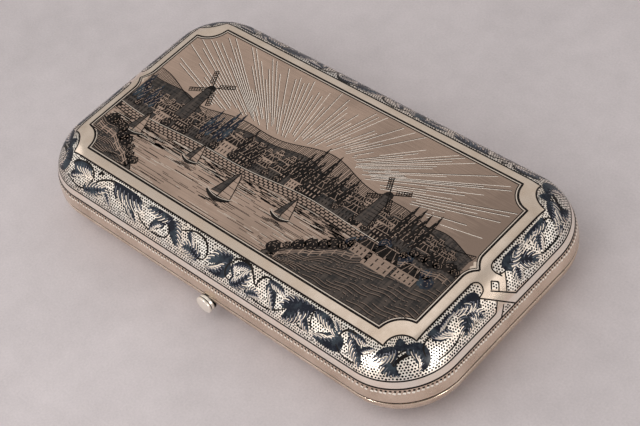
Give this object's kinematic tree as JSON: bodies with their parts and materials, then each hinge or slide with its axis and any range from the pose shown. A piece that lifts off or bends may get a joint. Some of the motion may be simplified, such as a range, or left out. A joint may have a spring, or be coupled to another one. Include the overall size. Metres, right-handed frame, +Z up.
{
  "type": "snuff box",
  "caption": "Cushion-shaped rounded-rectangle silver snuff box with a hinged domed lid, inner bezel and push-button snap catch.",
  "frame": {"origin": "centre of the flat bottom that the box rests on", "axes": "+X along the length, to the right seen from the front; +Y from the front, with the push button, to the hinge at the back; +Z up"},
  "size_m": [0.09, 0.0516, 0.0154],
  "materials": {
    "silver": "warm, softly polished silver with engraving and black niello",
    "gilt": "satin gilding",
    "niello": "black niello laid in engraved lines, flush and semi-polished",
    "steel": "drawn spring steel"
  },
  "bodies": {
    "base": {"base_pan": "silver", "base_bezel": "gilt", "base_hinge_bearer": "silver", "base_knuckle_1": "silver", "base_knuckle_2": "silver", "base_knuckle_3": "silver", "base_knuckle_4": "silver", "hinge_pin": "steel", "hinge_plug_left": "silver", "hinge_plug_right": "silver", "catch_spring": "steel", "spring_rivet_left": "silver", "spring_rivet_right": "silver"},
    "lid": {"lid_shell": "silver", "lid_hinge_bearer": "silver", "lid_knuckle_1": "silver", "lid_knuckle_2": "silver", "lid_knuckle_3": "silver", "catch_tongue": "gilt"},
    "button": {"push_button": "silver", "button_stem": "steel", "button_washer": "steel"}
  },
  "joints": [
    {"name": "lid_hinge", "type": "hinge", "parent": "base", "child": "lid", "pos_m": [0, 0.0245, 0.0061], "axis": [-1, 0, 0], "range_deg": [0, 100]},
    {"name": "button_push", "type": "slide", "parent": "base", "child": "button", "axis": [0, 1, 0], "range_m": [0, 0.0006], "stiffness_N_per_m": 1500, "springref_m": -0.0005, "deforming": ["catch_spring"]}
  ]
}
